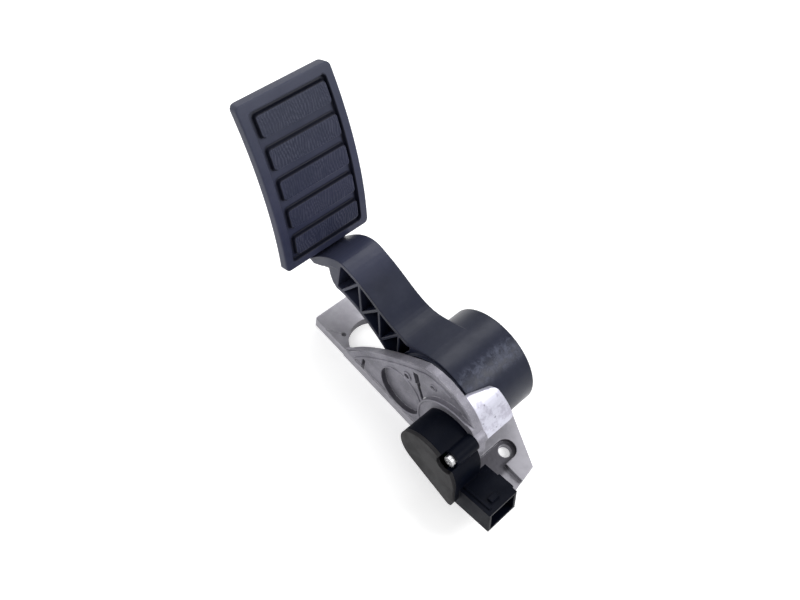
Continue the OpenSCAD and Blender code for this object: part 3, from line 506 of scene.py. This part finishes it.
def hatching(u, v):
    """Short upright strokes, from 0 to 1: a wave across the pad, bent by slow waves and broken up by a coarser one.

    They are half as high on the middle treads, where shoes rub most.
    """
    bend = 1.9 * np.sin(u / 4.1 + 1.6 * np.sin(v / 5.3)) + 1.7 * np.sin(v / 2.9 + 1.9 * np.sin(u / 3.7))
    wave = np.sin(2 * math.pi * u / HATCH_PITCH + bend) \
        + 0.75 * np.sin(2 * math.pi * v / HATCH_LENGTH + 1.7 * bend + 3.4 * np.sin(u / 1.9))
    unrubbed = 0.5 + 0.5 * ease(np.abs(v - RUBBED_MIDDLE) / RUBBED_REACH)
    return ease((wave + 0.6) / 1.6) * unrubbed


def wall_shade(u, v, relief):
    """Painted shade: marks the walls that face the near side or the pad's top, and a little of the floor at their
    foot.
    """
    steep = np.maximum(np.gradient(relief, axis=1) / np.gradient(u, axis=1), 0) \
        + np.maximum(-np.gradient(relief, axis=0) / np.gradient(v, axis=0), 0)
    shade = np.clip(steep / 1.2, 0, 1)
    for _ in range(3):
        shade = np.maximum(shade, 0.82 * np.roll(shade, 1, axis=0))
        shade = np.maximum(shade, 0.75 * np.roll(shade, -1, axis=1))
    return shade


def make_pad():
    """The pad as a closed tube of cross sections along its length.

    Height is the bow, less a round-over near the outline, less the field's soft step, plus five
    treads that rise from the field by the same kind of step, plus the hatching on their tops.
    """
    face_n, back_n, long_n, end_n = 250, 24, 302, 14
    # Rows along the pad, closer at both ends, and half the width at each row
    end = PAD_END * (1 - np.cos(np.linspace(0, math.pi / 2, end_n)))
    row = np.concatenate([end, np.linspace(PAD_END, PAD_L - PAD_END, long_n)[1:-1], PAD_L - end[::-1]])
    to_end = np.minimum(row, PAD_L - row)
    corner = np.sqrt(np.maximum(PAD_CORNER ** 2 - (PAD_CORNER - to_end) ** 2, 0))
    half = np.where(to_end < PAD_CORNER, PAD_W / 2 - PAD_CORNER + corner, PAD_W / 2)[:, None]
    # Columns across the face, closer at the sides
    t = np.linspace(-1, 1, face_n)
    t = np.sign(t) * (1 - (1 - np.abs(t)) ** 1.12)
    u = t[None, :] * half
    v = np.repeat(row[:, None], face_n, axis=1)
    from_edge = -rounded_box_distance(u, v - PAD_L / 2, PAD_W, PAD_L, PAD_CORNER)
    fall = ROUND_OVER - np.sqrt(np.maximum(ROUND_OVER ** 2 - np.maximum(ROUND_OVER - from_edge, 0) ** 2, 0))
    in_field = -rounded_box_distance(u, v - PAD_L / 2, PAD_W - 2 * BORDER, PAD_L - 2 * BORDER, FIELD_CORNER)
    sunk = ease((in_field + STEP_OUT) / FIELD_STEP)
    raised, flat_top = treads(u, v)
    relief = (FIELD_DEPTH - TREAD_DROP) * raised * sunk - FIELD_DEPTH * sunk
    hatch = hatching(u, v) * flat_top
    face = from_pad(u, v, bow(v) - fall + relief + HATCH_RISE * hatch)
    # Sides, by height above the back and inset from the outline, and the back
    base = bow(row)[:, None] - PAD_T
    side_h = np.array([[5.4, 3.6, 1.8, 0.7, 0.2]])
    side_in = np.array([[0.0, 0.0, 0.0, 0.12, 0.45]])
    along = row[:, None]
    right = from_pad(half - side_in, along + 0 * side_h, base + side_h)
    left = from_pad(side_in[:, ::-1] - half, along + 0 * side_h, base + side_h[:, ::-1])
    b = np.linspace(1, -1, back_n)[None, :]
    back = from_pad(b * (half - 0.9), along + 0 * b, base + 0 * b)
    rings = np.concatenate([face, right, back, left], axis=1)
    rows, columns = rings.shape[:2]
    unmarked = np.zeros((rows, columns - face_n))
    marks = {label: np.concatenate([values, unmarked], axis=1).ravel()
             for label, values in (("tread", flat_top), ("hatch", hatch), ("shade", wall_shade(u, v, relief)))}
    faces = ring_faces(rows, columns).tolist() + end_faces(rows, columns)
    pad = surface("pad_moulding", rings.reshape(-1, 3), faces, pad_finish(), marks)
    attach(pad, "pedal")
    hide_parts("pedal_pad")


def make_pins():
    """The connector's six pins: turned blades whose half width is that of a rounded square, tapered to the tip.

    A pin's outline at turn t is 1 / (|cos t|^4 + |sin t|^4)^(1/4), times a radius that eases in over the last 2 mm.
    """
    sides = 32
    tip = PIN_SHANK + PIN_TIP * np.sin(np.linspace(0.1, math.pi / 2, 12))
    reach = np.concatenate([np.linspace(0, PIN_SHANK, 10), tip])
    in_tip = (reach - PIN_SHANK) / (PIN_TIP + 0.1)
    radius = PIN_R * np.where(reach < PIN_SHANK, 1.0, np.sqrt(np.maximum(1 - in_tip ** 2, 0.02)))[:, None]
    turn = np.linspace(0, 2 * math.pi, sides, endpoint=False)
    outline = 1 / (np.abs(np.cos(turn)) ** 4 + np.abs(np.sin(turn)) ** 4) ** 0.25
    y = np.repeat(PIN_START + reach[:, None], sides, axis=1)
    c, s = math.cos(PLUG_TILT), math.sin(PLUG_TILT)
    faces = ring_faces(len(reach), sides).tolist() + end_faces(len(reach), sides)
    shapes = []
    for i in (-1, 0, 1):
        for j in (-1, 1):
            x = PIN_PITCH * i + PIN_X + radius * outline * np.cos(turn)
            z = PIN_ROW * j + radius * outline * np.sin(turn)
            places = PLUG_ROOT + np.stack([x, z * s - y * c, y * s + z * c], axis=-1)
            shapes.append((places.reshape(-1, 3), faces))
    pins = surface("socket_pins", *joined(shapes), FINISH["connector_terminals"])
    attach(pins, "base")
    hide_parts("connector_terminals")


def curve(a, b, c, d, n):
    """Points of a cubic curve from a to d, drawn towards b and c."""
    t = np.linspace(0, 1, n)[:, None]
    return (1 - t) ** 3 * np.array(a) + 3 * (1 - t) ** 2 * t * np.array(b) \
        + 3 * (1 - t) * t ** 2 * np.array(c) + t ** 3 * np.array(d)


def ring_path(centre, radius, first, last, n):
    """Points round a centre between two angles in degrees."""
    a = np.radians(np.linspace(first, last, n))
    return np.array(centre) + radius * np.stack([np.cos(a), np.sin(a)], axis=-1)


def bead(path, x, radius, closed=False):
    """A round bead on a face of the casting: a circle carried along a path in Y and Z at the given X.

    The circle's axes are X and the path's own normal; at open ends its radius shrinks to a point.
    """
    sides = 12
    rows = len(path)
    if closed:
        ahead = np.roll(path, -1, axis=0) - np.roll(path, 1, axis=0)
        size = np.full((rows, 1), radius)
        faces = (ring_faces(rows + 1, sides) % (rows * sides)).tolist()
    else:
        ahead = np.gradient(path, axis=0)
        to_end = np.minimum(np.arange(rows), np.arange(rows)[::-1])[:, None]
        size = radius * np.sqrt(np.clip(to_end / 3, 0.02, 1))
        faces = ring_faces(rows, sides).tolist() + end_faces(rows, sides)
    ahead = ahead / np.linalg.norm(ahead, axis=1, keepdims=True)
    across = np.stack([-ahead[:, 1], ahead[:, 0]], axis=-1)
    t = np.linspace(0, 2 * math.pi, sides, endpoint=False)
    yz = path[:, None, :] + (size * np.sin(t))[:, :, None] * across[:, None, :]
    points = np.concatenate([(x + size * np.cos(t))[:, :, None], yz], axis=-1)
    return points.reshape(-1, 3), [face[::-1] for face in faces]


def make_casting_beads():
    """Rounded ridges of the near cheek: both edges of its rim, the pocket, two small bosses and the sensor's seat."""
    # Along the rim: distance inside its edge, bead radius, the toe's curve and the angle where the bead ends
    along_rim = ((0.9, 0.75, (78.0, 12.0), (65.6, 30.0), (37.5, 59.2), 150),
                 (5.5, 0.95, (69.0, 10.0), (58.4, 29.2), (33.2, 57.2), 104))
    # Full rings on the web: centre, radius, last angle, points, X and bead radius
    on_web = (((24.5, 27.5), 19.5, 358, 120, WEB_X, 0.65),
              ((23.0, 51.9), 2.9, 350, 36, WEB_X - 0.1, 0.85),
              ((2.0, 67.0), 2.4, 350, 36, WEB_X, 0.65))
    join = np.array([math.cos(math.radians(LOBE_JOIN)), math.sin(math.radians(LOBE_JOIN))])
    shapes = []
    for inset, radius, toe, low, high, end in along_rim:
        from_toe = curve(toe, low, high, LOBE + (LOBE_R - inset) * join, 40)
        round_lobe = ring_path(LOBE, LOBE_R - inset, LOBE_JOIN + 1.5, end, 60)
        shapes.append(bead(np.concatenate([from_toe, round_lobe]), RIM_X, radius))
    for centre, ring_r, last, n, x, radius in on_web:
        shapes.append(bead(ring_path(centre, ring_r, 0, last, n), x, radius, closed=True))
    shapes.append(bead(ring_path(SEAT, SEAT_R, -70, 100, 90), SEAT_X, 0.85))
    piece = surface("casting_beads", *joined(shapes), FINISH["base_casting"])
    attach(piece, "base")


make_pad()
make_pins()
make_casting_beads()


# ---- Camera, floor and light ---------------------------------------------

def make_camera():
    """Stands the camera where the photograph was taken from; turned by its roll about its own axis."""
    azimuth, elevation, roll = -0.9545840673, 0.9926265414, 0.2451770067
    ahead = Vector((-math.sin(azimuth) * math.cos(elevation), math.cos(azimuth) * math.cos(elevation),
                    -math.sin(elevation)))
    right = Vector((math.cos(azimuth), math.sin(azimuth), 0))
    up = right.cross(ahead)
    right, up = (math.cos(roll) * right + math.sin(roll) * up, math.cos(roll) * up - math.sin(roll) * right)
    turn = Matrix((right, up, -ahead)).transposed().to_4x4()
    data = bpy.data.cameras.new("camera")
    data.sensor_width = 36
    data.lens = 38.475
    data.clip_start = 0.01
    data.clip_end = 60
    camera = bpy.data.objects.new("camera", data)
    camera.matrix_world = Matrix.Translation((-0.25705, -0.1162, 0.5417)) @ turn
    bpy.context.scene.collection.objects.link(camera)
    bpy.context.scene.camera = camera


def seen_directly(w):
    """One for rays from the camera, and for those that a glossy or clear surface sends on."""
    ray = w.add("ShaderNodeLightPath").outputs
    return w.math("MAXIMUM", ray["Is Camera Ray"], w.math("MAXIMUM", ray["Is Glossy Ray"],
                                                          ray["Is Transmission Ray"]))


def make_floor():
    """A wide pale disc whose rim curves up; to the camera it glows to white and keeps the shadow."""
    flat_r, rise_r, below, sides, flat_n, rise_n = 4, 2, 0.0002, 48, 24, 12
    bend = np.linspace(0.1, math.pi / 2, rise_n)
    r = np.concatenate([np.linspace(0.01, flat_r, flat_n), flat_r + rise_r * np.sin(bend)])[:, None]
    z = np.concatenate([np.zeros(flat_n), rise_r * (1 - np.cos(bend))])[:, None] - below
    turn = np.linspace(0, 2 * math.pi, sides, endpoint=False)
    points = np.stack(np.broadcast_arrays(r * np.cos(turn), r * np.sin(turn), z), axis=-1)
    material, w, given = start_material("studio_floor")
    given["Base Color"].default_value = (0.9, 0.9, 0.9, 1)
    given["Roughness"].default_value = 0.8
    given["Emission Color"].default_value = (1, 1, 1, 1)
    w.link(w.times(seen_directly(w), 0.46), given["Emission Strength"])
    faces = [list(range(sides))] + ring_faces(flat_n + rise_n, sides).tolist()
    floor = surface("studio_floor", points.reshape(-1, 3) / MM, faces, material)


def make_light(name, place, aim, size, power):
    """A soft square lamp at place, turned to aim."""
    data = bpy.data.lights.new(name, "AREA")
    data.shape = "SQUARE"
    data.size = size
    data.energy = power
    lamp = bpy.data.objects.new(name, data)
    lamp.location = place
    lamp.rotation_euler = (Vector(aim) - Vector(place)).to_track_quat("-Z", "Y").to_euler()
    bpy.context.scene.collection.objects.link(lamp)


def make_world():
    """Even pale surroundings, which look white to the camera itself."""
    world = bpy.data.worlds.new("studio")
    bpy.context.scene.world = world
    world.use_nodes = True
    background = world.node_tree.nodes["Background"]
    background.inputs["Color"].default_value = (1.0, 1.0, 1.0, 1)
    w = Wiring(world.node_tree)
    w.link(w.spread(seen_directly(w), 0, 1, 0.6, 1.0), background.inputs["Strength"])


make_camera()
make_floor()
make_world()
make_light("key_lamp", (0.60, -0.62, 0.93), (0, 0.0, 0.06), 0.42, 6)
make_light("toe_lamp", (0.52, 0.62, 0.95), (0, 0.09, 0.08), 0.6, 4.2)
make_light("side_lamp", (-0.9, 0.3, 0.9), (0, 0.05, 0.08), 0.6, 2.0)
bpy.context.scene.view_settings.view_transform = "Standard"
